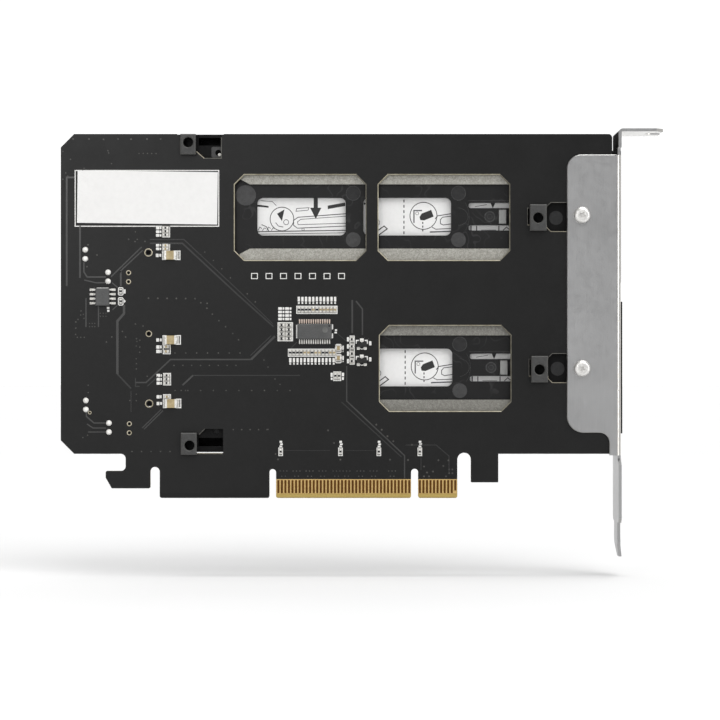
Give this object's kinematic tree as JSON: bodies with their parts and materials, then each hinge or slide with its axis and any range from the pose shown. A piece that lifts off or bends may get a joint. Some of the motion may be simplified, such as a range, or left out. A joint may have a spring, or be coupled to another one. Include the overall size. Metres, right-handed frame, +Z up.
{
  "type": "dual-bay nvme drive adapter card",
  "caption": "Full-height expansion card with a rack of slide-out M.2 drive trays, card-edge connector and slot bracket.",
  "frame": {"origin": "centre of the edge key at the card edge, in the middle of the board's thickness", "axes": "+X along the board towards the bracket, +Y out of the component side, +Z up from the card edge"},
  "size_m": [0.1702, 0.0185, 0.1211],
  "materials": {
    "board_black": "black solder mask over glass-fibre laminate, satin",
    "bracket_steel": "nickel-plated sheet steel, satin",
    "screw_nickel": "bright nickel-plated screw",
    "rack_plastic": "black moulded plastic, fine grain",
    "cover_black": "black powder-coated sheet steel",
    "galvanised": "galvanised sheet steel",
    "tray_plastic": "black moulded plastic",
    "tray_lid": "anodised aluminium, finned",
    "catch_grey": "grey moulded plastic",
    "card_white": "white coated card",
    "label_white": "white satin label stock",
    "thermal_pad": "soft silicone pad",
    "lever_plastic": "dark grey moulded plastic",
    "pin_steel": "ground steel pin",
    "socket_plastic": "black moulded connector plastic",
    "contact_gold": "gold-plated contact",
    "chip_black": "black moulded chip case",
    "solder_tin": "tinned, soldered metal",
    "resistor_black": "glazed black resistor element",
    "ceramic_tan": "tan ceramic",
    "pipe_clear": "clear moulded light pipe"
  },
  "bodies": {
    "card": {"pcb": "board_black", "bracket": "bracket_steel", "bracket_screws": "screw_nickel", "rack_base": "rack_plastic", "rack_cover": "cover_black", "cover_screws": "screw_nickel", "light_pipes": "pipe_clear", "socket_contacts": "contact_gold", "header_bases": "socket_plastic", "header_pins": "solder_tin", "memory_chip": "chip_black", "clock_chip": "chip_black", "transistors": "chip_black", "chip_leads": "solder_tin", "chip_resistors": "resistor_black", "chip_capacitors": "ceramic_tan", "part_terminals": "solder_tin", "large_capacitors": "ceramic_tan", "blank_label": "label_white", "upper_bay_rails": "galvanised", "lower_bay_rails": "galvanised", "upper_m2_socket": "socket_plastic", "lower_m2_socket": "socket_plastic"},
    "upper_drive_tray": {"upper_tray": "tray_plastic", "upper_tray_cover": "tray_lid", "upper_cover_catch": "catch_grey", "upper_printed_card": "card_white", "upper_thermal_pad": "thermal_pad", "upper_lever_pin": "pin_steel"},
    "upper_lever": {"upper_tray_lever": "lever_plastic"},
    "lower_drive_tray": {"lower_tray": "tray_plastic", "lower_tray_cover": "tray_lid", "lower_cover_catch": "catch_grey", "lower_printed_card": "card_white", "lower_thermal_pad": "thermal_pad", "lower_lever_pin": "pin_steel"},
    "lower_lever": {"lower_tray_lever": "lever_plastic"}
  },
  "joints": [
    {"name": "upper_tray_slide", "type": "slide", "parent": "card", "child": "upper_drive_tray", "axis": [1, 0, 0], "range_m": [0, 0.115]},
    {"name": "upper_lever_swing", "type": "hinge", "parent": "upper_drive_tray", "child": "upper_lever", "pos_m": [0.05715, 0.0076, 0.06667], "axis": [0, 1, 0], "range_deg": [0, 75]},
    {"name": "lower_tray_slide", "type": "slide", "parent": "card", "child": "lower_drive_tray", "axis": [1, 0, 0], "range_m": [0, 0.115]},
    {"name": "lower_lever_swing", "type": "hinge", "parent": "lower_drive_tray", "child": "lower_lever", "pos_m": [0.0575, 0.0076, 0.02389], "axis": [0, 1, 0], "range_deg": [0, 75]}
  ]
}
